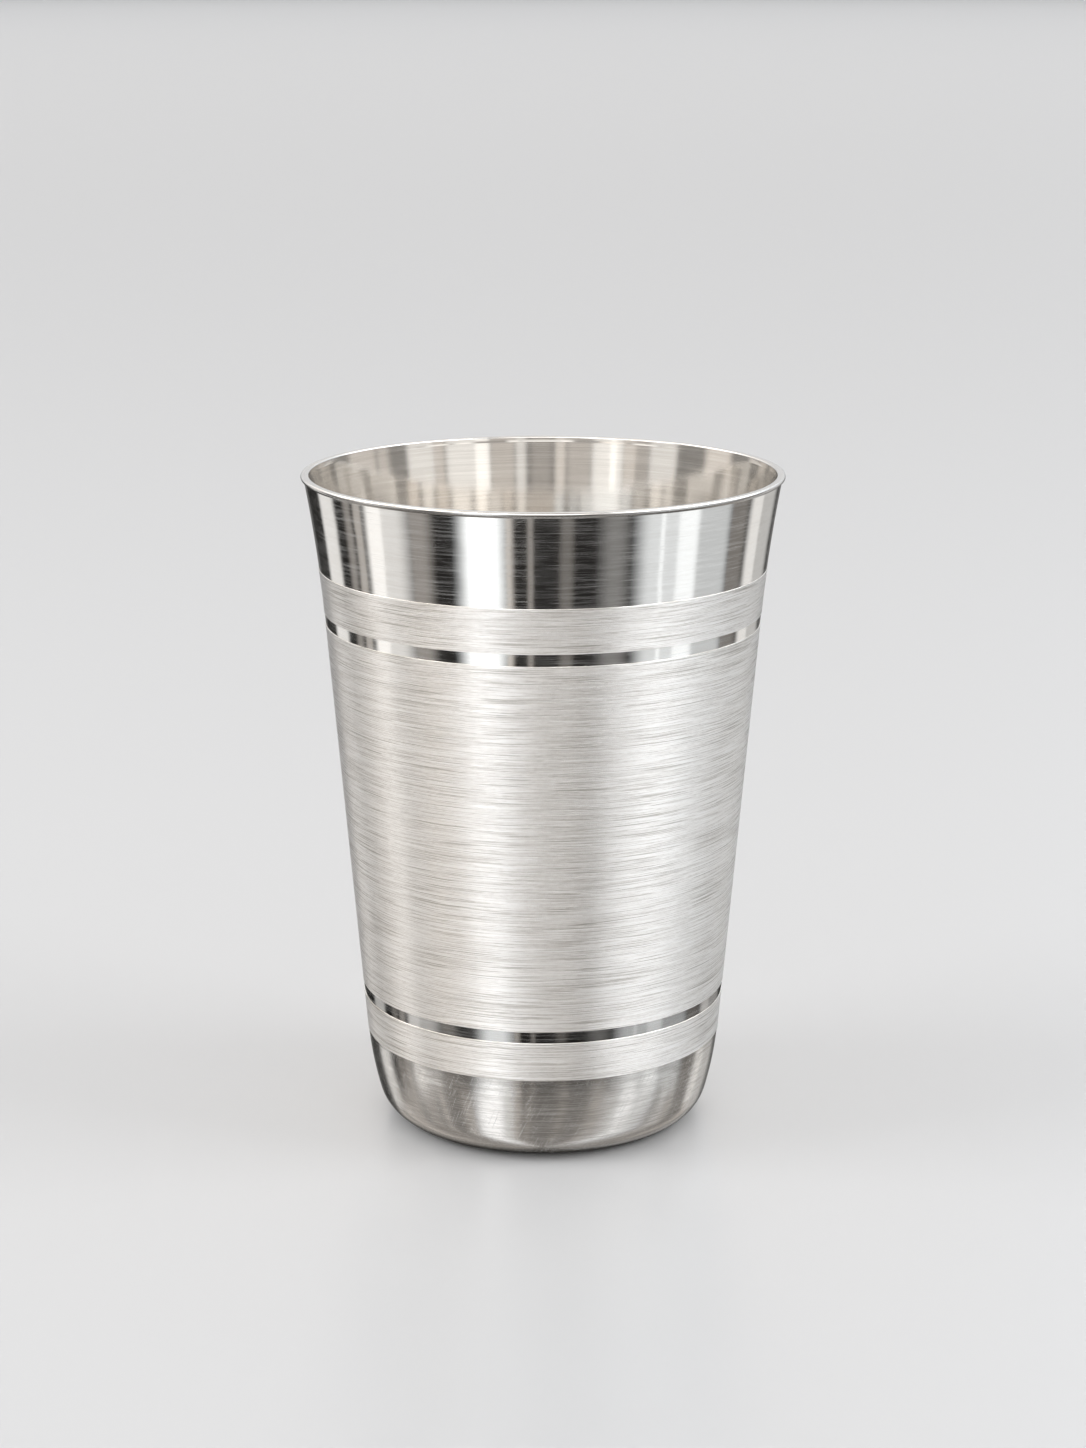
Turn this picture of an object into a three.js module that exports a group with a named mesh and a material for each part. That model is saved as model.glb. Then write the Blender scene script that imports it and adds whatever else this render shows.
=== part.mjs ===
// A tapered metal drinking tumbler: a rolled wall with a flared lip, a dished base let into its
// foot, and a rim wire along its top edge. Sizes are in millimetres, +Z is up, and the table is
// at Z = 0. Every piece is a body of revolution about Z.

import * as THREE from 'three';

// Overall sizes
const HEIGHT = 105.6; // table to the top of the rim wire
const RIM_DIAMETER = 76; // across the rim wire
const SEAM_DIAMETER = 57.3; // across the wall where it meets the base
const SEAM_HEIGHT = 14.7; // table to the seam between wall and base
const WALL_THICKNESS = 1.0; // sheet of the wall and the base, measured level

// Flare of the lip
const FLARE_HEIGHT = 22.9; // from the rim wire's seat down to where the straight taper takes over
const FLARE_REACH = 1.09; // how far the flare carries the lip past the straight taper

// Bright bands, turned a little below the brushed surface
const BRIGHT_DEPTH = 0.08;
const LIP_BAND_HEIGHT = 13.9; // bright band under the rim wire
const UPPER_BAND_HEIGHT = 7.0; // brushed band between the lip and the upper bright line
const LOWER_BAND_HEIGHT = 6.3; // brushed band between the seam and the lower bright line
const LINE_WIDTH = 1.9; // each of the two bright lines

// Rim wire
const RIM_WIRE_HEIGHT = 0.9; // its seat on the wall up to its top
const RIM_OVERHANG = 0.43; // its reach past the wall's brushed surface
const RIM_BEAD_RADIUS = 0.35; // rounding of its outer side
const RIM_INNER_RADIUS = 0.25; // rounding of its inner top edge
const RIM_BEAD_END = -Math.PI / 4; // where the bead's rounding gives way to its sloping underside

// Base
const CORNER_RADIUS = 6.4; // tight rounding that meets the table
const HEEL_RADIUS = 55; // slow rounding from there up to the seam
const FOOT_RING_WIDTH = 5; // flat ring that the tumbler stands on
const DISH_DEPTH = 0.8; // rise of the underside inside that ring

// Soldered half-lap joint between wall and base
const LAP_HEIGHT = 3; // collar of the base that stands up inside the wall
const LAP_THICKNESS = 0.45; // sheet left in that collar
const SOLDER_GAP = 0.05; // room for the solder around the collar and above it

// Facets
const SEGMENTS = 72; // around the axis; a multiple of 4 keeps the outline square to the axes
const FLARE_STEPS = 5; // along each stretch of the flare
const CORNER_STEPS = 6; // along the tight rounding
const HEEL_STEPS = 4; // along the slow rounding
const BEAD_STEPS = 6; // around the bead, with one point at its widest
const EDGE_STEPS = 3; // around the rim's inner edge
const DISH_STEPS = 3; // across the dished underside

// Sizes that follow from those above
const seamRadius = SEAM_DIAMETER / 2;
const rimRadius = RIM_DIAMETER / 2;
const seatHeight = HEIGHT - RIM_WIRE_HEIGHT;
const flareStart = seatHeight - FLARE_HEIGHT;
const taperSlope = (rimRadius - RIM_OVERHANG - FLARE_REACH - seamRadius) / (seatHeight - SEAM_HEIGHT);
const taperAngle = Math.atan(taperSlope);
const lipBottom = seatHeight - LIP_BAND_HEIGHT;
const upperLineTop = lipBottom - UPPER_BAND_HEIGHT;
const upperLineBottom = upperLineTop - LINE_WIDTH;
const lowerLineBottom = SEAM_HEIGHT + LOWER_BAND_HEIGHT;
const lowerLineTop = lowerLineBottom + LINE_WIDTH;

// Radius of the brushed surface at a height: a straight taper, and a parabola more in the lip.
function outerRadius(z) {
  const intoFlare = Math.max(0, (z - flareStart) / FLARE_HEIGHT);
  return seamRadius + taperSlope * (z - SEAM_HEIGHT) + FLARE_REACH * intoFlare ** 2;
}

const brightRadius = (z) => outerRadius(z) - BRIGHT_DEPTH;
const innerRadius = (z) => outerRadius(z) - WALL_THICKNESS;
const collarRadius = (z) => innerRadius(z) + LAP_THICKNESS;
const rebateRadius = (z) => collarRadius(z) + SOLDER_GAP;

const point = (r, z) => new THREE.Vector2(r, z);
const on = (surface, z) => point(surface(z), z);

// Points along a surface from one height to another, both ends included.
function along(surface, fromZ, toZ, steps) {
  return Array.from({ length: steps + 1 }, (_, i) => on(surface, fromZ + ((toZ - fromZ) * i) / steps));
}

// Points along a circle from one angle to another, both ends included; 0 points outward, PI/2 up.
function arc(centre, radius, fromAngle, toAngle, steps) {
  return Array.from({ length: steps + 1 }, (_, i) => {
    const angle = fromAngle + ((toAngle - fromAngle) * i) / steps;
    return point(centre.x + radius * Math.cos(angle), centre.y + radius * Math.sin(angle));
  });
}

// The lathe's own axis is Y. This is a quarter turn about X, in whole numbers so that nothing rounds.
const upright = new THREE.Matrix4().set(1, 0, 0, 0, 0, 0, -1, 0, 0, 1, 0, 0, 0, 0, 0, 1);

// One piece, turned about Z from its profile of radii and heights.
function turned(name, profile, material) {
  const geometry = new THREE.LatheGeometry(profile, SEGMENTS).applyMatrix4(upright);
  const mesh = new THREE.Mesh(geometry, material);
  mesh.name = name;
  return mesh;
}

// Wall: up the outside past both bright lines and the lip, then down the inside to the lap joint.
function wallProfile() {
  const rebateTop = SEAM_HEIGHT + LAP_HEIGHT + SOLDER_GAP;
  const outside = [
    on(outerRadius, SEAM_HEIGHT),
    on(outerRadius, lowerLineBottom),
    on(brightRadius, lowerLineBottom),
    on(brightRadius, lowerLineTop),
    on(outerRadius, lowerLineTop),
    on(outerRadius, upperLineBottom),
    on(brightRadius, upperLineBottom),
    on(brightRadius, upperLineTop),
    ...along(outerRadius, upperLineTop, lipBottom, FLARE_STEPS),
    ...along(brightRadius, lipBottom, seatHeight, FLARE_STEPS),
  ];
  const inside = [
    ...along(innerRadius, seatHeight, flareStart, FLARE_STEPS),
    on(innerRadius, rebateTop),
    on(rebateRadius, rebateTop),
    on(rebateRadius, SEAM_HEIGHT),
  ];
  return [...outside, ...inside, outside[0].clone()];
}

// Base: out along the underside, around both roundings to the seam, over the collar of the lap
// joint, and back along the inside at the same thickness.
function baseProfile() {
  const top = on(brightRadius, SEAM_HEIGHT);
  const heelCentre = point(
    top.x - HEEL_RADIUS * Math.cos(taperAngle),
    top.y + HEEL_RADIUS * Math.sin(taperAngle),
  );
  const turnAngle = Math.asin((heelCentre.y - CORNER_RADIUS) / (HEEL_RADIUS - CORNER_RADIUS));
  const cornerCentre = point(
    heelCentre.x + (HEEL_RADIUS - CORNER_RADIUS) * Math.cos(turnAngle),
    CORNER_RADIUS,
  );
  const sheet = WALL_THICKNESS - BRIGHT_DEPTH;
  const dishRadius = cornerCentre.x - FOOT_RING_WIDTH;
  const collarTop = SEAM_HEIGHT + LAP_HEIGHT;

  const dish = (z) =>
    Array.from({ length: DISH_STEPS + 1 }, (_, i) => {
      const r = (dishRadius * i) / DISH_STEPS;
      return point(r, z + DISH_DEPTH * (1 - (r / dishRadius) ** 2));
    });
  const rounding = (inset) => [
    ...arc(cornerCentre, CORNER_RADIUS - inset, -Math.PI / 2, -turnAngle, CORNER_STEPS),
    ...arc(heelCentre, HEEL_RADIUS - inset, -turnAngle, -taperAngle, HEEL_STEPS).slice(1),
  ];

  return [
    ...dish(0),
    ...rounding(0),
    on(collarRadius, SEAM_HEIGHT),
    on(collarRadius, collarTop),
    on(innerRadius, collarTop),
    ...rounding(sheet).reverse(),
    ...dish(sheet).reverse(),
  ];
}

// Rim wire: flat on the wall's top edge, a rounded bead outside, and flush with the wall inside.
function rimProfile() {
  const bead = point(rimRadius - RIM_BEAD_RADIUS, HEIGHT - RIM_BEAD_RADIUS);
  const innerEdge = point(innerRadius(HEIGHT) + RIM_INNER_RADIUS, HEIGHT - RIM_INNER_RADIUS);
  return [
    on(innerRadius, seatHeight),
    on(brightRadius, seatHeight),
    ...arc(bead, RIM_BEAD_RADIUS, RIM_BEAD_END, Math.PI / 2, BEAD_STEPS),
    ...arc(innerEdge, RIM_INNER_RADIUS, Math.PI / 2, Math.PI, EDGE_STEPS),
    on(innerRadius, seatHeight),
  ];
}

const brushed = new THREE.MeshStandardMaterial({ color: 0xd6d1c8, metalness: 1, roughness: 0.38 });
const satin = new THREE.MeshStandardMaterial({ color: 0xc9c3ba, metalness: 1, roughness: 0.28 });
const polished = new THREE.MeshStandardMaterial({ color: 0xe6e3dd, metalness: 1, roughness: 0.08 });

const tumbler = new THREE.Group();
tumbler.name = 'tumbler';
tumbler.add(turned('body_wall', wallProfile(), brushed));
tumbler.add(turned('base_cup', baseProfile(), satin));
tumbler.add(turned('rim_wire', rimProfile(), polished));

export default tumbler;
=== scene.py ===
"""A brushed and polished silver tumbler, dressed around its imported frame.

Every piece is turned about Z from a profile of radii and heights. Lengths are in metres, except in
the finishes, whose strokes, scratches and reliefs are in millimetres.
"""

import math

import bpy
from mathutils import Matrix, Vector


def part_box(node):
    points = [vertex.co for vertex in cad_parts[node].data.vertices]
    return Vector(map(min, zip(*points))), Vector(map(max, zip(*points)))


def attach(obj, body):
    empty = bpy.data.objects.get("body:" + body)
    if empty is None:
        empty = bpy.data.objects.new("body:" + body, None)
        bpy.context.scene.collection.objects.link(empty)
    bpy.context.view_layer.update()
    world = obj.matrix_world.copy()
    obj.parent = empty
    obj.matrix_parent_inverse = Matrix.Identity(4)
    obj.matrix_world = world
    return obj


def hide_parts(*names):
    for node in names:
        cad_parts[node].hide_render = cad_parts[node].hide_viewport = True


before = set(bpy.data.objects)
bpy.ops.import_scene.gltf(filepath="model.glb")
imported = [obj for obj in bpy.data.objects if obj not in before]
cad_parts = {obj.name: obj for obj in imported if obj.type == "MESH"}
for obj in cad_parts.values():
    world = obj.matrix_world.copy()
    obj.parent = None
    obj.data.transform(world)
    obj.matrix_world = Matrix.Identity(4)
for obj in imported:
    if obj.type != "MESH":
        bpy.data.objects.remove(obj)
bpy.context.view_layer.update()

MM = 0.001

# Sizes read from the frame
rim_low, rim_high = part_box("rim_wire")
wall_low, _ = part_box("body_wall")
_, base_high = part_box("base_cup")
HEIGHT = rim_high[2]
RIM_RADIUS = rim_high[0]
SEAT_HEIGHT = rim_low[2]
SEAM_HEIGHT = wall_low[2]
COLLAR_TOP = base_high[2]

# Sizes of the wall, the same as in the solids
WALL_THICKNESS = 1.0 * MM
SEAM_RADIUS = 28.65 * MM
FLARE_HEIGHT = 22.9 * MM
FLARE_REACH = 1.09 * MM
BRIGHT_DEPTH = 0.08 * MM
LIP_BAND_HEIGHT = 13.9 * MM
UPPER_BAND_HEIGHT = 7.0 * MM
LOWER_BAND_HEIGHT = 6.3 * MM
LINE_WIDTH = 1.9 * MM

# Sizes of the rim wire
RIM_OVERHANG = 0.43 * MM
RIM_BEAD_RADIUS = 0.35 * MM
RIM_INNER_RADIUS = 0.25 * MM
RIM_BEAD_END = math.radians(-45)

# Sizes of the base and of its lap joint
CORNER_RADIUS = 6.4 * MM
HEEL_RADIUS = 55 * MM
FOOT_RING_WIDTH = 5 * MM
DISH_DEPTH = 0.8 * MM
LAP_THICKNESS = 0.45 * MM
SOLDER_GAP = 0.05 * MM
SEAM_BEVEL = 0.06 * MM

# Sizes that follow from those above
FLARE_START = SEAT_HEIGHT - FLARE_HEIGHT
TAPER = (RIM_RADIUS - RIM_OVERHANG - FLARE_REACH - SEAM_RADIUS) / (SEAT_HEIGHT - SEAM_HEIGHT)
TAPER_ANGLE = math.atan(TAPER)
LIP_BOTTOM = SEAT_HEIGHT - LIP_BAND_HEIGHT
UPPER_LINE_TOP = LIP_BOTTOM - UPPER_BAND_HEIGHT
UPPER_LINE_BOTTOM = UPPER_LINE_TOP - LINE_WIDTH
LOWER_LINE_BOTTOM = SEAM_HEIGHT + LOWER_BAND_HEIGHT
LOWER_LINE_TOP = LOWER_LINE_BOTTOM + LINE_WIDTH

# Facets around the axis, and steps along the profiles
AROUND = 288
LOWER_BAND_STEPS = 4
LINE_STEPS = 2
BODY_STEPS = 24
UPPER_BAND_STEPS = 6
LIP_STEPS = 14
INNER_FLARE_STEPS = 18
INNER_BODY_STEPS = 20
DISH_STEPS = 12
CORNER_STEPS = 20
HEEL_STEPS = 12
INNER_CORNER_STEPS = 16
INNER_HEEL_STEPS = 10
BEAD_STEPS = 18
EDGE_STEPS = 8
SHARP_ANGLE = math.radians(30)
ON_AXIS = 1e-9  # a smaller radius is a single point on the axis

# Camera, fitted to the photograph's outline: its frame is 1448 pixels tall
CAMERA_PLACE = (0, -0.4734, 0.1823)
CAMERA_PITCH = math.radians(13.95)
FOCAL_PIXELS = 3042.5
FRAME_HEIGHT_PIXELS = 1448
SENSOR_HEIGHT = 36


# Profiles

def outer_radius(z):
    """Brushed surface: a straight taper, and a parabola more in the lip."""
    into_flare = max(0.0, (z - FLARE_START) / FLARE_HEIGHT)
    return SEAM_RADIUS + TAPER * (z - SEAM_HEIGHT) + FLARE_REACH * into_flare**2


def bright_radius(z):
    return outer_radius(z) - BRIGHT_DEPTH


def inner_radius(z):
    return outer_radius(z) - WALL_THICKNESS


def collar_radius(z):
    return inner_radius(z) + LAP_THICKNESS


def rebate_radius(z):
    return collar_radius(z) + SOLDER_GAP


def on(surface, z):
    return (surface(z), z)


def along(surface, start, end, steps):
    """Points along a surface from one height to another, both ends included."""
    return [on(surface, start + (end - start) * i / steps) for i in range(steps + 1)]


def arc(centre, radius, start, end, steps):
    """Points along a circle from one angle to another; 0 points outward and a right angle up."""
    angles = [start + (end - start) * i / steps for i in range(steps + 1)]
    return [(centre[0] + radius * math.cos(a), centre[1] + radius * math.sin(a)) for a in angles]


def wall_profile():
    """Runs of one finish each, up the outside of the wall and down its inside."""
    rebate_top = COLLAR_TOP + SOLDER_GAP

    def brushed(low, high, steps):
        """A brushed band, and the step above it down to the bright surface."""
        return along(outer_radius, low, high, steps) + [on(bright_radius, high)]

    def polished(low, high, steps):
        """A bright band, less its lower edge, where the step before it ends."""
        return along(bright_radius, low, high, steps)[1:]

    lower_band = brushed(SEAM_HEIGHT, LOWER_LINE_BOTTOM, LOWER_BAND_STEPS)
    return [
        ("brushed", [on(rebate_radius, SEAM_HEIGHT)] + lower_band),
        ("polished", polished(LOWER_LINE_BOTTOM, LOWER_LINE_TOP, LINE_STEPS)),
        ("brushed", brushed(LOWER_LINE_TOP, UPPER_LINE_BOTTOM, BODY_STEPS)),
        ("polished", polished(UPPER_LINE_BOTTOM, UPPER_LINE_TOP, LINE_STEPS)),
        ("brushed", brushed(UPPER_LINE_TOP, LIP_BOTTOM, UPPER_BAND_STEPS)),
        ("polished", polished(LIP_BOTTOM, SEAT_HEIGHT, LIP_STEPS)),
        ("inside", along(inner_radius, SEAT_HEIGHT, FLARE_START, INNER_FLARE_STEPS)),
        ("inside", along(inner_radius, FLARE_START, rebate_top, INNER_BODY_STEPS)[1:]),
        ("inside", [on(rebate_radius, rebate_top)]),
    ]


def base_profile():
    """Runs of one finish each, out along the underside, over the collar and back along the inside."""
    top = on(bright_radius, SEAM_HEIGHT)
    heel = (
        top[0] - HEEL_RADIUS * math.cos(TAPER_ANGLE),
        top[1] + HEEL_RADIUS * math.sin(TAPER_ANGLE),
    )
    turn = math.asin((heel[1] - CORNER_RADIUS) / (HEEL_RADIUS - CORNER_RADIUS))
    corner = (heel[0] + (HEEL_RADIUS - CORNER_RADIUS) * math.cos(turn), CORNER_RADIUS)
    sheet = WALL_THICKNESS - BRIGHT_DEPTH
    dish_radius = corner[0] - FOOT_RING_WIDTH

    def dish(z):
        radii = [dish_radius * i / DISH_STEPS for i in range(DISH_STEPS + 1)]
        return [(r, z + DISH_DEPTH * (1 - (r / dish_radius) ** 2)) for r in radii]

    def rounding(inset, corner_steps, heel_steps):
        tight = arc(corner, CORNER_RADIUS - inset, -math.pi / 2, -turn, corner_steps)
        slow = arc(heel, HEEL_RADIUS - inset, -turn, -TAPER_ANGLE, heel_steps)
        return tight + slow[1:]

    seam_edge = (top[0] - SEAM_BEVEL, top[1])
    outside = rounding(0, CORNER_STEPS, HEEL_STEPS)
    outside[-1] = (outside[-1][0], outside[-1][1] - SEAM_BEVEL)
    inside = rounding(sheet, INNER_CORNER_STEPS, INNER_HEEL_STEPS)
    return [
        ("satin", dish(0) + outside + [seam_edge]),
        ("inside", [on(collar_radius, SEAM_HEIGHT), on(collar_radius, COLLAR_TOP)]),
        ("inside", [on(inner_radius, COLLAR_TOP)]),
        ("inside", inside[::-1] + dish(sheet)[::-1]),
    ]


def rim_profile():
    """The rim wire: flat on the wall's top edge, with a bead outside and a rounded edge inside."""
    bead = (RIM_RADIUS - RIM_BEAD_RADIUS, HEIGHT - RIM_BEAD_RADIUS)
    edge = (inner_radius(HEIGHT) + RIM_INNER_RADIUS, HEIGHT - RIM_INNER_RADIUS)
    outside = arc(bead, RIM_BEAD_RADIUS, RIM_BEAD_END, math.pi / 2, BEAD_STEPS)
    inside = arc(edge, RIM_INNER_RADIUS, math.pi / 2, math.pi, EDGE_STEPS)
    return [
        ("inside", [on(inner_radius, SEAT_HEIGHT)]),
        ("rim", [on(bright_radius, SEAT_HEIGHT)] + outside + inside),
    ]


# Meshes

def placed(name, data):
    """A new object in the scene."""
    thing = bpy.data.objects.new(name, data)
    bpy.context.collection.objects.link(thing)
    return thing


def turned(name, runs, materials, closed):
    """A mesh turned about Z, with one material for each kind of run and a map for its bake.

    A closed profile joins its last point to its first, and any other begins and ends on the axis.
    """
    points = [p for _, run in runs for p in run]
    finish = [kind for kind, run in runs for _ in run]
    kinds = list(dict.fromkeys(finish))
    spans = len(points) if closed else len(points) - 1
    lengths = [0.0]
    for (r0, z0), (r1, z1) in zip(points, points[1:] + points[:1]):
        lengths.append(lengths[-1] + math.hypot(r1 - r0, z1 - z0))

    vertices, rings = [], []
    for r, z in points:
        count = 1 if r < ON_AXIS else AROUND
        rings.append([len(vertices) + i for i in range(count)])
        for i in range(count):
            angle = 2 * math.pi * i / AROUND
            vertices.append((r * math.cos(angle), r * math.sin(angle), z))

    faces, slots, corners = [], [], []
    for span in range(spans):
        low, high = rings[span], rings[(span + 1) % len(points)]
        v0, v1 = (lengths[span + k] / lengths[spans] for k in (0, 1))
        for i in range(AROUND):
            j = (i + 1) % AROUND
            u0, u1 = i / AROUND, (i + 1) / AROUND
            middle = (u0 + u1) / 2
            if len(low) == 1:
                faces.append((low[0], high[j], high[i]))
                corners += [(middle, v0), (u1, v1), (u0, v1)]
            elif len(high) == 1:
                faces.append((low[i], low[j], high[0]))
                corners += [(u0, v0), (u1, v0), (middle, v1)]
            else:
                faces.append((low[i], low[j], high[j], high[i]))
                corners += [(u0, v0), (u1, v0), (u1, v1), (u0, v1)]
            slots.append(kinds.index(finish[(span + 1) % len(points)]))

    mesh = bpy.data.meshes.new(name)
    mesh.from_pydata(vertices, [], faces)
    mesh.polygons.foreach_set("material_index", slots)
    layer = mesh.uv_layers.new(name="OFBake")
    layer.data.foreach_set("uv", [c for corner in corners for c in corner])
    for kind in kinds:
        mesh.materials.append(materials[kind])
    mesh.polygons.foreach_set("use_smooth", [True] * len(faces))
    mesh.set_sharp_from_angle(angle=SHARP_ANGLE)
    mesh.validate()
    return placed(name, mesh)


# Shader nodes

DRIFT_SIZE = 9.0  # millimetres along which a stroke wanders
DRIFT_REACH = 0.4  # millimetres by which it wanders
SCRATCH_RADIUS = 32.0  # millimetres, where an angle about the axis is turned into a length
SCRATCH_EDGE = 0.06  # rise of the noise over which a scratch fades in
ACROSS_STROKES = 0.25  # a quarter turn, which smears reflections across the strokes


class Nodes:
    """Adds nodes to a tree. An input that is given a socket is linked, and any other is set."""

    def __init__(self, tree):
        self.tree = tree
        tree.nodes.clear()

    def add(self, kind, inputs=None, **settings):
        node = self.tree.nodes.new(kind)
        for name, value in settings.items():
            setattr(node, name, value)
        for name, value in (inputs or {}).items():
            if isinstance(value, bpy.types.NodeSocket):
                self.tree.links.new(value, node.inputs[name])
            else:
                node.inputs[name].default_value = value
        return node

    def math(self, operation, *values):
        return self.add("ShaderNodeMath", dict(enumerate(values)), operation=operation).outputs[0]

    def total(self, *weighted):
        """The sum of values times weights."""
        sums = [self.math("MULTIPLY", value, weight) for value, weight in weighted]
        for i in range(1, len(sums)):
            sums[i] = self.math("ADD", sums[i - 1], sums[i])
        return sums[-1]

    def ramp(self, value, low, high, start=0.0, end=1.0):
        """A smooth step from start, at low, to end, at high."""
        inputs = {"Value": value, "From Min": low, "From Max": high, "To Min": start, "To Max": end}
        node = self.add("ShaderNodeMapRange", inputs, interpolation_type="SMOOTHSTEP")
        return node.outputs["Result"]

    def blend(self, factor, first, second):
        """A colour between two colours, on the colour sockets of the mixing node."""
        node = self.add("ShaderNodeMix", {0: factor}, data_type="RGBA")
        for index, value in ((6, first), (7, second)):
            if isinstance(value, bpy.types.NodeSocket):
                self.tree.links.new(value, node.inputs[index])
            else:
                node.inputs[index].default_value = value
        return node.outputs[2]

    def noise(self, vector, detail):
        inputs = {"Vector": vector, "Scale": 1.0, "Detail": detail}
        return self.add("ShaderNodeTexNoise", inputs).outputs["Fac"]


class TurnedSurface(Nodes):
    """Nodes of a finish on a turned surface, whose strokes run around the axis."""

    def __init__(self, tree):
        super().__init__(tree)
        place = self.add("ShaderNodeTexCoord").outputs["Object"]
        scaled = self.add("ShaderNodeVectorMath", {0: place, "Scale": 1 / MM}, operation="SCALE")
        self.millimetres = scaled.outputs[0]
        parts = self.add("ShaderNodeSeparateXYZ", {0: self.millimetres})
        self.x, self.y, self.z = parts.outputs
        squares = [self.math("POWER", self.x, 2.0), self.math("POWER", self.y, 2.0)]
        radius = self.math("SQRT", self.math("ADD", *squares))
        self.across = self.math("ADD", radius, self.z)

    def patches(self, size, detail=2.0, seed=0.0):
        """Even noise whose blotches are about the given size."""
        inputs = {0: self.millimetres, 1: (1 / size,) * 3, 2: (seed,) * 3}
        node = self.add("ShaderNodeVectorMath", inputs, operation="MULTIPLY_ADD")
        return self.noise(node.outputs[0], detail)

    def strokes(self, length, width, detail=0.0, seed=0.0):
        """Noise drawn out around the axis, with the given length and width."""
        drift = self.math("SUBTRACT", self.patches(DRIFT_SIZE, 1.0, seed), 0.5)
        across = self.math("MULTIPLY_ADD", drift, DRIFT_REACH, self.across)
        place = self.add("ShaderNodeCombineXYZ", {0: self.x, 1: self.y, 2: across}).outputs[0]
        inputs = {0: place, 1: (1 / length, 1 / length, 1 / width), 2: (0, 0, seed)}
        node = self.add("ShaderNodeVectorMath", inputs, operation="MULTIPLY_ADD")
        return self.noise(node.outputs[0], detail)

    def scratches(self, degrees, length, width, level, seed):
        """Straight scratches at an angle to the strokes, 0 or 1, where noise rises past a level."""
        around = self.math("MULTIPLY", self.math("ARCTAN2", self.y, self.x), SCRATCH_RADIUS)
        cos, sin = math.cos(math.radians(degrees)), math.sin(math.radians(degrees))
        parts = {
            0: self.math("DIVIDE", self.total((around, cos), (self.z, sin)), length),
            1: self.math("DIVIDE", self.total((self.z, cos), (around, -sin)), width),
            2: seed,
        }
        noise = self.noise(self.add("ShaderNodeCombineXYZ", parts).outputs[0], 1.0)
        return self.ramp(noise, level, level + SCRATCH_EDGE)

    def metal(self, colour, roughness, height, anisotropy=0.0, metallic=1.0):
        """The shader: height is a relief, and where it is less metallic it scatters some light."""
        relief = self.add("ShaderNodeBump", {"Height": height, "Strength": 1.0, "Distance": MM})
        inputs = {
            "Base Color": colour,
            "Metallic": metallic,
            "Roughness": roughness,
            "Normal": relief.outputs["Normal"],
        }
        if anisotropy:
            tangent = self.add("ShaderNodeTangent", direction_type="RADIAL", axis="Z")
            inputs["Anisotropic"] = anisotropy
            inputs["Anisotropic Rotation"] = ACROSS_STROKES
            inputs["Tangent"] = tangent.outputs[0]
        shader = self.add("ShaderNodeBsdfPrincipled", inputs)
        self.add("ShaderNodeOutputMaterial", {"Surface": shader.outputs[0]})


def new_material(name, kind):
    """A material, and the nodes of its emptied tree."""
    material = bpy.data.materials.new(name)
    material.use_nodes = True
    return material, kind(material.node_tree)


# Finishes: the dark and the light of the strokes, the colours of the marks, and painted light:
# painted shade in the brushed grooves, a painted highlight on the brushed ridges, and painted shade
# that darkens the inside and the rim

BRUSHED_DARK = (0.73, 0.714, 0.691, 1)
BRUSHED_LIGHT = (1.0, 0.988, 0.97, 1)
# painted shade: the dark brushed strokes, darker where their grooves are cut
BRUSHED_GROOVE_SHADE = (0.48, 0.46, 0.43, 1)
# painted highlight along the raised brushed strokes
BRUSHED_RIDGE_HIGHLIGHT = (1.0, 0.995, 0.985, 1)
POLISHED_DARK = (0.9, 0.88, 0.85, 1)
POLISHED_LIGHT = (0.96, 0.945, 0.92, 1)
SATIN_DARK = (0.74, 0.712, 0.678, 1)
SATIN_LIGHT = (0.93, 0.907, 0.875, 1)
SATIN_SCRATCH = (0.98, 0.965, 0.94, 1)
# painted shade: the inside's silver is darker than the outside's, with a tone that differs at random
# along its strokes
INSIDE_SHADED_DARK = (0.61, 0.585, 0.55, 1)
INSIDE_SHADED_LIGHT = (0.69, 0.665, 0.63, 1)
# painted shade: the rim's silver is darker than the lip's, which dims its highlights; its nicks are
# darker still
RIM_SHADED_PLAIN = (0.66, 0.65, 0.635, 1)
RIM_NICK = (0.52, 0.51, 0.495, 1)


def brushed_silver():
    material, s = new_material("brushed_silver", TurnedSurface)
    fine = s.strokes(length=8.0, width=0.08, detail=1.0)
    grain = s.strokes(length=1.0, width=0.2, detail=2.0, seed=60.0)
    dark = s.ramp(s.strokes(length=11.0, width=0.1, seed=90.0), 0.56, 0.67)
    bright = s.ramp(s.strokes(length=11.0, width=0.1, seed=130.0), 0.54, 0.63)
    tone = s.total((fine, 0.65), (grain, 0.35))
    plain = s.blend(s.ramp(tone, 0.36, 0.64), BRUSHED_DARK, BRUSHED_LIGHT)
    # The dark strokes are painted shade in their grooves, and the bright ones a painted highlight on
    # their ridges.
    groove_shaded = s.blend(s.math("MULTIPLY", dark, 0.8), plain, BRUSHED_GROOVE_SHADE)
    colour = s.blend(s.math("MULTIPLY", bright, 0.9), groove_shaded, BRUSHED_RIDGE_HIGHLIGHT)
    roughness = s.ramp(tone, 0.3, 0.7, start=0.5, end=0.42)
    height = s.total((tone, 0.015), (dark, -0.008), (bright, 0.008))
    s.metal(colour, roughness, height, anisotropy=0.97)
    return material


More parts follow.
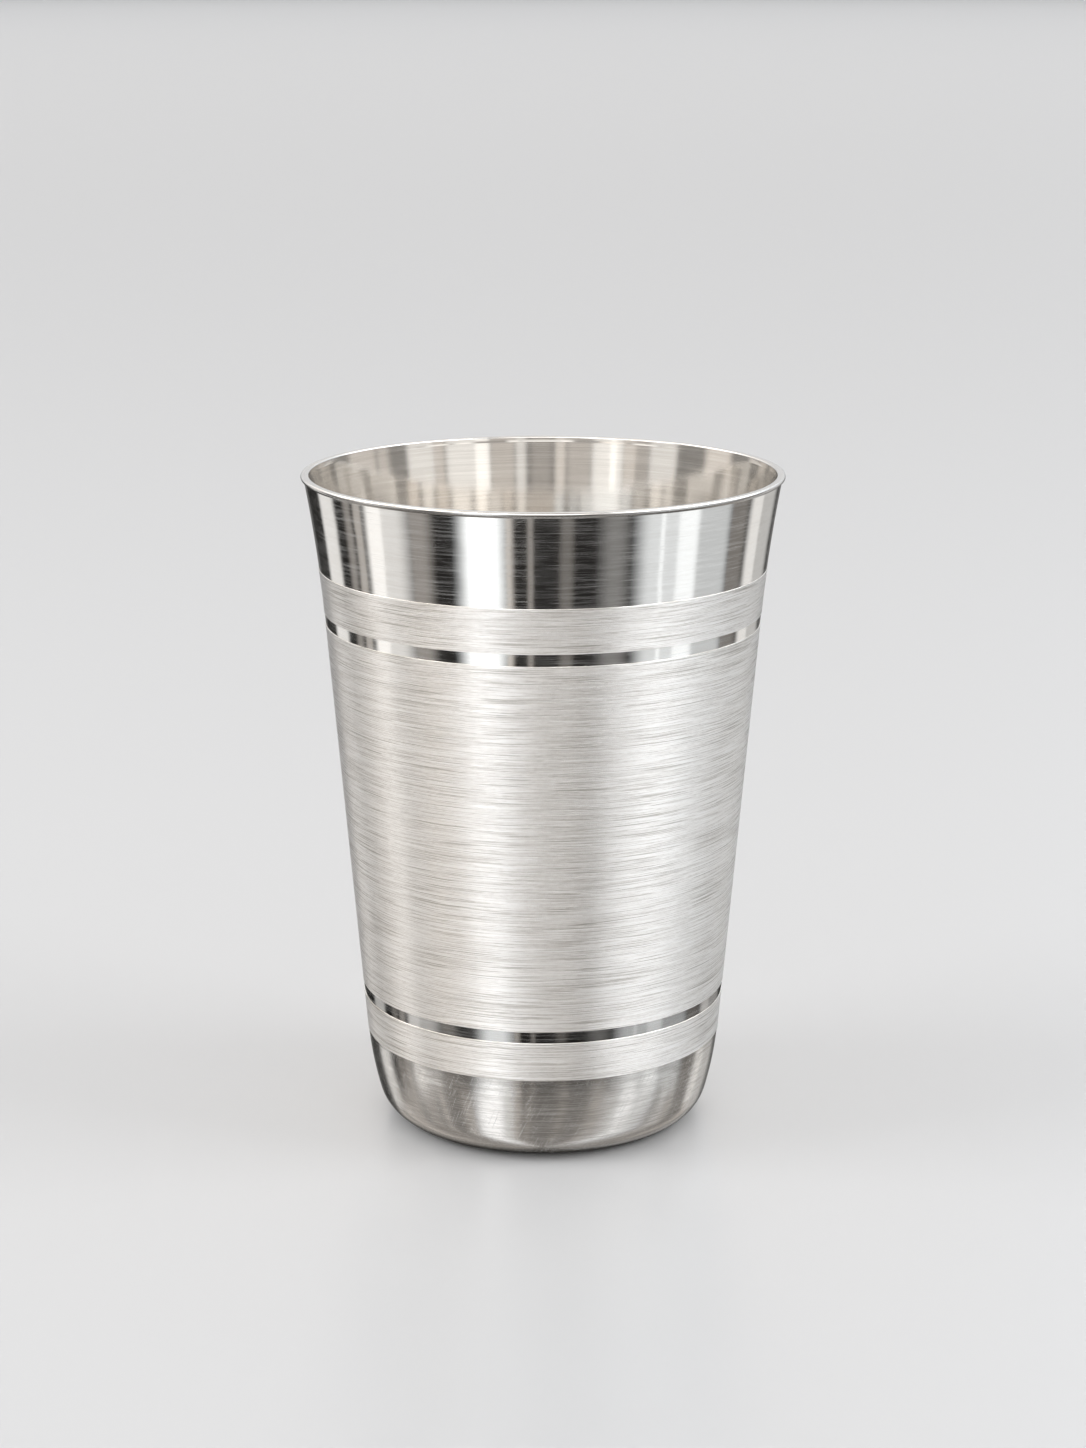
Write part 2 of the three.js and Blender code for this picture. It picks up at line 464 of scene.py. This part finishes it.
def polished_silver():
    material, s = new_material("polished_silver", TurnedSurface)
    fine = s.strokes(length=9.0, width=0.16, detail=1.0)
    lines = s.ramp(s.strokes(length=6.0, width=0.16, detail=1.0, seed=30.0), 0.6, 0.74)
    crossing = s.scratches(degrees=24, length=5.0, width=0.12, level=0.71, seed=3.0)
    marks = s.math("MAXIMUM", lines, crossing)
    haze = s.ramp(s.strokes(length=5.0, width=1.2, detail=2.0, seed=15.0), 0.42, 0.66)
    waves = s.patches(size=7.0, detail=1.0)
    colour = s.blend(s.ramp(fine, 0.36, 0.64), POLISHED_DARK, POLISHED_LIGHT)
    roughness = s.total((s.ramp(fine, 0.3, 0.7, start=0.05, end=0.1), 1.0), (marks, 0.08))
    dull = s.total((marks, 0.07), (haze, 0.02), (s.ramp(fine, 0.48, 0.66), 0.09))
    height = s.total((fine, 0.0008), (marks, -0.0006), (waves, 0.02))
    s.metal(colour, roughness, height, metallic=s.math("SUBTRACT", 1.0, dull))
    return material


def satin_silver():
    material, s = new_material("satin_silver", TurnedSurface)
    fine = s.strokes(length=5.0, width=0.16, detail=2.0)
    broad = s.strokes(length=9.0, width=0.9, detail=2.0, seed=20.0)
    steep = s.scratches(degrees=62, length=6.0, width=0.13, level=0.64, seed=5.0)
    slanted = s.scratches(degrees=-35, length=4.0, width=0.12, level=0.65, seed=9.0)
    shallow = s.scratches(degrees=8, length=5.0, width=0.12, level=0.66, seed=14.0)
    marks = s.math("MAXIMUM", s.math("MAXIMUM", steep, slanted), shallow)
    tone = s.total((fine, 0.7), (broad, 0.3))
    plain = s.blend(s.ramp(tone, 0.36, 0.64), SATIN_DARK, SATIN_LIGHT)
    colour = s.blend(s.math("MULTIPLY", marks, 0.35), plain, SATIN_SCRATCH)
    roughness = s.ramp(tone, 0.36, 0.64, start=0.2, end=0.14)
    dull = s.total((marks, 0.18), (s.ramp(tone, 0.45, 0.65), 0.06))
    height = s.total((tone, 0.003), (marks, -0.003))
    s.metal(colour, roughness, height, anisotropy=0.8, metallic=s.math("SUBTRACT", 1.0, dull))
    return material


def inside_silver():
    material, s = new_material("inside_silver", TurnedSurface)
    fine = s.strokes(length=20.0, width=0.2, detail=2.0)
    broad = s.strokes(length=30.0, width=1.1, detail=2.0, seed=60.0)
    tone = s.total((fine, 0.6), (broad, 0.4))
    # The inside's colours are painted shade, darker than the outside's silver.
    colour = s.blend(s.ramp(tone, 0.34, 0.66), INSIDE_SHADED_DARK, INSIDE_SHADED_LIGHT)
    roughness = s.ramp(tone, 0.3, 0.7, start=0.08, end=0.13)
    height = s.math("MULTIPLY", tone, 0.0008)
    s.metal(colour, roughness, height, anisotropy=0.5, metallic=0.85)
    return material


def rim_silver():
    material, s = new_material("rim_silver", TurnedSurface)
    fine = s.strokes(length=18.0, width=0.12, detail=2.0)
    nicks = s.ramp(s.patches(size=1.4, detail=3.0), 0.62, 0.74)
    # The rim's colours are painted shade, darker than the lip's silver.
    colour = s.blend(s.math("MULTIPLY", nicks, 0.35), RIM_SHADED_PLAIN, RIM_NICK)
    roughness = s.total((s.ramp(fine, 0.3, 0.7, start=0.16, end=0.22), 1.0), (nicks, 0.08))
    s.metal(colour, roughness, s.math("MULTIPLY", fine, 0.001))
    return material


# Studio

DOME_RADIUS = 20
DOME_SIDES = 720
SHADE_LEVEL = -1 * MM
SHADE_SIDES = 96
FLOOR_REACH = 30.0
FLOOR_COLOUR = (0.56, 0.565, 0.575, 1)
FLOOR_ROUGHNESS = 0.3
BACKDROP_COLOUR = (0.79, 0.79, 0.8, 1)
SKY_TOP = 45.0  # elevation in degrees above which the sky has its full light
SKY_LOW_LIGHT = 0.5
SKY_FULL_LIGHT = 1.0
LAMPS = (("left_lamp", (-1.0, -0.2, 0.7)), ("right_lamp", (1.0, -0.2, 0.7)))
LAMP_AIM = (0, 0, 0.05)
LAMP_SIZE = 0.6
LAMP_POWER = 5

# Tints of the cards
WARM = (1.0, 0.94, 0.88)
PLAIN = (1.0, 0.985, 0.965)
COOL = (0.95, 0.98, 1.0)
NEUTRAL = (0.975, 0.985, 1.0)
AMBIENT = (1.0, 0.955, 0.91)
SKY = (0.9, 0.95, 1.0)
BEIGE = (1.0, 0.925, 0.845)

# Cards that stand far around the tumbler, which only reflections see: the middle, the width and the
# soft edge in degrees to the right of the camera, the brightness and the tint. The base sees the
# table's cards, the lip and the bright lines see the low ones, and the inside sees the middle ones,
# and the high ones by two mirrorings. The brushed wall smears what it mirrors up and down, and has
# most of its light from the low cards and the ceiling's.
TABLE_CARDS = (
    (-150, 20, 10, 0.45, WARM),
    (-127, 16, 10, 0.6, WARM),
    (-114, 20, 10, 0.4, WARM),
    (-93, 16, 8, 0.33, WARM),
    (-80, 6, 5, 0.5, WARM),
    (-58, 14, 10, 0.42, WARM),
    (-40, 24, 14, 1.2, NEUTRAL),
    (-25, 8, 5, 0.66, PLAIN),
    (-19, 6, 4, 0.45, WARM),
    (-10.5, 5, 3, 0.34, WARM),
    (14, 9, 6, 0.3, WARM),
    (40, 16, 12, 0.38, WARM),
    (50, 14, 10, 0.52, PLAIN),
    (63, 16, 10, 0.98, NEUTRAL),
    (76, 20, 10, 0.68, NEUTRAL),
    (97, 8, 5, 0.6, PLAIN),
    (106, 10, 6, 0.4, WARM),
    (136, 20, 10, 0.45, WARM),
    (160, 16, 10, 0.7, PLAIN),
)
LOW_CARDS = (
    (-133, 16, 5, 0.8, PLAIN),
    (-113, 6, 5, 0.28, WARM),
    (-105, 6, 3, 0.45, WARM),
    (-93, 12, 5, 1.05, PLAIN),
    (-85, 26, 16, 0.75, PLAIN),
    (-66, 14, 10, 0.3, WARM),
    (-31, 21, 14, 1.5, COOL),
    (-17.5, 4, 4, 0.62, WARM),
    (-6.5, 3, 2, 0.3, WARM),
    (12, 7, 5, 0.16, WARM),
    (37, 14, 12, 0.21, PLAIN),
    (63, 4, 3, 1.1, COOL),
    (67, 34, 14, 0.78, COOL),
    (78, 16, 8, 1.1, COOL),
    (92, 30, 8, 0.6, COOL),
    (111, 22, 10, 0.2, WARM),
    (131, 14, 7, 0.8, PLAIN),
    (145, 22, 12, 0.5, PLAIN),
    (180, 36, 10, 0.17, PLAIN),
)
MIDDLE_CARDS = (
    (-150, 30, 10, 0.75, NEUTRAL),
    (-134, 16, 8, 0.75, WARM),
    (-101, 20, 8, 0.85, WARM),
    (-65, 17, 5, 0.95, PLAIN),
    (-52, 12, 4, 0.5, WARM),
    (-46, 8, 4, 0.85, WARM),
    (-37, 5, 3, 1.7, PLAIN),
    (-34, 18, 6, 1.2, PLAIN),
    (-19, 14, 6, 0.62, WARM),
    (-9, 6, 4, 0.9, WARM),
    (1, 12, 6, 0.42, WARM),
    (11.5, 6, 4, 1.0, PLAIN),
    (21, 14, 6, 0.7, WARM),
    (32, 9, 4, 1.6, PLAIN),
    (43, 18, 6, 1.12, PLAIN),
    (56, 8, 5, 0.75, WARM),
    (66, 17, 5, 1.0, PLAIN),
    (90, 10, 8, 0.62, WARM),
    (105, 22, 8, 0.68, WARM),
    (140, 18, 10, 0.62, WARM),
    (150, 30, 10, 0.75, NEUTRAL),
    (180, 60, 20, 0.68, NEUTRAL),
)
HIGH_CARDS = (
    (-157, 10, 6, 1.8, PLAIN),
    (-143, 10, 6, 1.25, WARM),
    (-130, 14, 8, 1.5, PLAIN),
    (-115, 14, 8, 2.5, PLAIN),
    (-93, 22, 8, 2.0, PLAIN),
    (-72, 14, 8, 1.35, WARM),
    (-55, 14, 8, 1.8, PLAIN),
    (-37, 14, 8, 1.4, WARM),
    (-12, 8, 6, 1.5, PLAIN),
    (0, 26, 8, 1.2, PLAIN),
    (15, 8, 6, 1.4, PLAIN),
    (42, 12, 8, 1.5, PLAIN),
    (57, 14, 8, 1.75, PLAIN),
    (76, 14, 8, 1.0, PLAIN),
    (91, 12, 8, 1.5, SKY),
    (113, 32, 10, 2.3, SKY),
    (134, 14, 8, 1.6, SKY),
    (148, 10, 6, 1.2, SKY),
    (163, 10, 6, 1.7, SKY),
    (180, 34, 8, 0.9, WARM),
)
CEILING_CARDS = (
    (-142, 16, 10, 4.4, BEIGE),
    (-130, 30, 12, 2.6, BEIGE),
    (-109, 15, 10, 6.3, BEIGE),
    (-71, 11, 8, 8.4, BEIGE),
    (-56, 34, 12, 3.8, BEIGE),
    (-34, 18, 8, 7.6, NEUTRAL),
    (-20, 18, 10, 5.7, NEUTRAL),
    (-7, 14, 10, 3.7, AMBIENT),
    (0, 56, 12, 3.5, AMBIENT),
    (57, 26, 12, 6.3, NEUTRAL),
    (70, 30, 10, 3.9, NEUTRAL),
    (88, 14, 8, 8.6, NEUTRAL),
    (98, 18, 12, 5.6, NEUTRAL),
    (126, 30, 12, 2.8, AMBIENT),
    (139, 16, 10, 4.3, AMBIENT),
    (180, 80, 20, 2.2, AMBIENT),
)

# What a height in the studio shows: the elevation and the turn about Z in degrees, the brightness
# between the cards, and the cards themselves, each kind with the share of its brightness
STUDIO_ROWS = (
    (-90, -6, 0.21, ((TABLE_CARDS, 0.8),)),
    (-56, -6, 0.21, ((TABLE_CARDS, 1.0),)),
    (-35, 2, 0.2, ((TABLE_CARDS, 1.0),)),
    (-31, 0, 0.02, ((LOW_CARDS, 1.0),)),
    (-6, 0, 0.02, ((LOW_CARDS, 1.0),)),
    (1, 0, 0.25, ((LOW_CARDS, 0.4), (MIDDLE_CARDS, 0.65))),
    (4, 0, 0.26, ((MIDDLE_CARDS, 1.25),)),
    (8, 0, 0.26, ((MIDDLE_CARDS, 1.2),)),
    (12, 0, 0.26, ((MIDDLE_CARDS, 1.1),)),
    (14, 0, 0.26, ((MIDDLE_CARDS, 1.0),)),
    (17, 0, 0.45, ((HIGH_CARDS, 1.2),)),
    (30, 0, 0.45, ((HIGH_CARDS, 1.2),)),
    (35, 0, 0.3, ((CEILING_CARDS, 1.0),)),
    (52, 0, 0.3, ((CEILING_CARDS, 1.0),)),
    (60, 0, 0.3, ((CEILING_CARDS, 0.35),)),
    (68, 0, 0.3, ((CEILING_CARDS, 0.12),)),
    (90, 0, 0.3, ((CEILING_CARDS, 0.12),)),
)

# Painted shade on the table around the foot, darkest in the foot's shadow, as reflections see it: the
# radius and the share of the light behind it
SHADE_RINGS = (
    (0.0 * MM, 0.08),
    (22.5 * MM, 0.08),
    (26.0 * MM, 0.95),
    (52.0 * MM, 1.0),
    (53.0 * MM, 0.52),
    (104.0 * MM, 0.52),
    (105.0 * MM, 1.0),
)


def faces_around(sides, rows):
    """Faces between points that are numbered row by row at each side."""
    faces = []
    for i in range(sides):
        here, there = i * rows, (i + 1) % sides * rows
        faces += [(here + k, here + k + 1, there + k + 1, there + k) for k in range(rows - 1)]
    return faces


def for_reflections(name, shader, vertices, faces, tones):
    """A stage thing that only reflections see, whose shader has a tone at each of its points."""
    mesh = bpy.data.meshes.new(name)
    mesh.from_pydata(vertices, [], faces)
    mesh.color_attributes.new("tone", "FLOAT_COLOR", "POINT").data.foreach_set("color", tones)
    material, nodes = new_material(name, Nodes)
    tone = nodes.add("ShaderNodeAttribute", attribute_name="tone").outputs["Color"]
    surface = nodes.add(shader, {"Color": tone})
    nodes.add("ShaderNodeOutputMaterial", {"Surface": surface.outputs[0]})
    mesh.materials.append(material)
    thing = placed(name, mesh)
    thing.visible_camera = False
    thing.visible_diffuse = False
    thing.visible_shadow = False


def card_share(azimuth, middle, width, edge):
    """How much of a soft-edged card is seen at an azimuth, 0 to 1."""
    aside = abs((azimuth - middle + 180) % 360 - 180)
    inside = min(1.0, max(0.0, (width / 2 - aside) / edge + 0.5))
    return inside * inside * (3 - 2 * inside)


def card_colour(cards, azimuth):
    """The brightest of the cards at an azimuth, in each colour."""
    colour = [0.0] * 3
    for middle, width, edge, brightness, tint in cards:
        level = brightness * card_share(azimuth, middle, width, edge)
        colour = [max(c, level * t) for c, t in zip(colour, tint)]
    return colour


def studio_cards():
    """A dome of cards, seen from within, with a column of points at each side."""
    vertices, tones = [], []
    for i in range(DOME_SIDES):
        azimuth = 360 * i / DOME_SIDES - 180
        for elevation, turn, between, kinds in STUDIO_ROWS:
            side, up = math.radians(azimuth + turn), math.radians(elevation)
            out, height = DOME_RADIUS * math.cos(up), DOME_RADIUS * math.sin(up)
            vertices.append((out * math.sin(side), -out * math.cos(side), height))
            least = [between * t for t in AMBIENT]
            parts = [[share * c for c in card_colour(cards, azimuth)] for cards, share in kinds]
            tones += [max(low, sum(part)) for low, part in zip(least, zip(*parts))] + [1.0]
    faces = faces_around(DOME_SIDES, len(STUDIO_ROWS))
    for_reflections("studio_cards", "ShaderNodeEmission", vertices, faces, tones)


def studio_shade():
    """Rings of painted shadow and shade on the table around the foot, which dim what reflections see
    there.
    """
    vertices, tones = [], []
    for i in range(SHADE_SIDES):
        side = 2 * math.pi * i / SHADE_SIDES
        for radius, share in SHADE_RINGS:
            vertices.append((radius * math.sin(side), -radius * math.cos(side), SHADE_LEVEL))
            tones += [share] * 3 + [1.0]
    faces = faces_around(SHADE_SIDES, len(SHADE_RINGS))
    for_reflections("studio_shade", "ShaderNodeBsdfTransparent", vertices, faces, tones)


def studio_world():
    """A soft light that rises from the horizon, and a plain pale backdrop for the camera."""
    world = bpy.data.worlds.new("studio")
    world.use_nodes = True
    bpy.context.scene.world = world
    nodes = Nodes(world.node_tree)
    direction = nodes.add("ShaderNodeTexCoord").outputs["Generated"]
    up = nodes.add("ShaderNodeSeparateXYZ", {0: direction}).outputs[2]
    elevation = nodes.math("DEGREES", nodes.math("ARCSINE", up))
    level = nodes.ramp(elevation, 0.0, SKY_TOP, SKY_LOW_LIGHT, SKY_FULL_LIGHT)
    light = nodes.add("ShaderNodeBackground", {"Color": level})
    backdrop = nodes.add("ShaderNodeBackground", {"Color": BACKDROP_COLOUR})
    seen = nodes.add("ShaderNodeLightPath").outputs["Is Camera Ray"]
    mixed = nodes.add("ShaderNodeMixShader", {0: seen, 1: light.outputs[0], 2: backdrop.outputs[0]})
    nodes.add("ShaderNodeOutputWorld", {"Surface": mixed.outputs[0]})


def studio_floor():
    """A plain pale floor, which the polished metal doesn't see: it sees the cards instead."""
    corners = [(-1, -1), (1, -1), (1, 1), (-1, 1)]
    mesh = bpy.data.meshes.new("floor")
    mesh.from_pydata([(FLOOR_REACH * x, FLOOR_REACH * y, 0) for x, y in corners], [], [(0, 1, 2, 3)])
    material, nodes = new_material("pale_floor", Nodes)
    inputs = {"Base Color": FLOOR_COLOUR, "Roughness": FLOOR_ROUGHNESS}
    shader = nodes.add("ShaderNodeBsdfPrincipled", inputs)
    nodes.add("ShaderNodeOutputMaterial", {"Surface": shader.outputs[0]})
    mesh.materials.append(material)
    floor = placed("floor", mesh)
    floor.visible_glossy = False


def studio_lamp(name, place):
    data = bpy.data.lights.new(name, "AREA")
    data.size = LAMP_SIZE
    data.energy = LAMP_POWER
    lamp = placed(name, data)
    lamp.location = place
    lamp.rotation_euler = (Vector(LAMP_AIM) - Vector(place)).to_track_quat("-Z", "Y").to_euler()
    lamp.visible_glossy = False


def studio_camera():
    data = bpy.data.cameras.new("camera")
    data.sensor_fit = "VERTICAL"
    data.sensor_height = SENSOR_HEIGHT
    data.lens = FOCAL_PIXELS / FRAME_HEIGHT_PIXELS * SENSOR_HEIGHT
    camera = placed("camera", data)
    camera.location = CAMERA_PLACE
    camera.rotation_euler = (math.pi / 2 - CAMERA_PITCH, 0, 0)
    bpy.context.scene.camera = camera


studio_camera()
studio_world()
studio_cards()
studio_shade()
studio_floor()
for lamp_name, lamp_place in LAMPS:
    studio_lamp(lamp_name, lamp_place)
bpy.context.scene.view_settings.view_transform = "Standard"

finishes = {
    "brushed": brushed_silver(),
    "polished": polished_silver(),
    "satin": satin_silver(),
    "inside": inside_silver(),
    "rim": rim_silver(),
}
wall = turned("tumbler_wall", wall_profile(), finishes, closed=True)
base = turned("tumbler_base", base_profile(), finishes, closed=False)
rim = turned("tumbler_rim", rim_profile(), finishes, closed=True)
for piece, node, slot in (
    (wall, "body_wall", "brushed_silver"),
    (base, "base_cup", "satin_silver"),
    (rim, "rim_wire", "polished_silver"),
):
    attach(piece, "root")
    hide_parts(node)
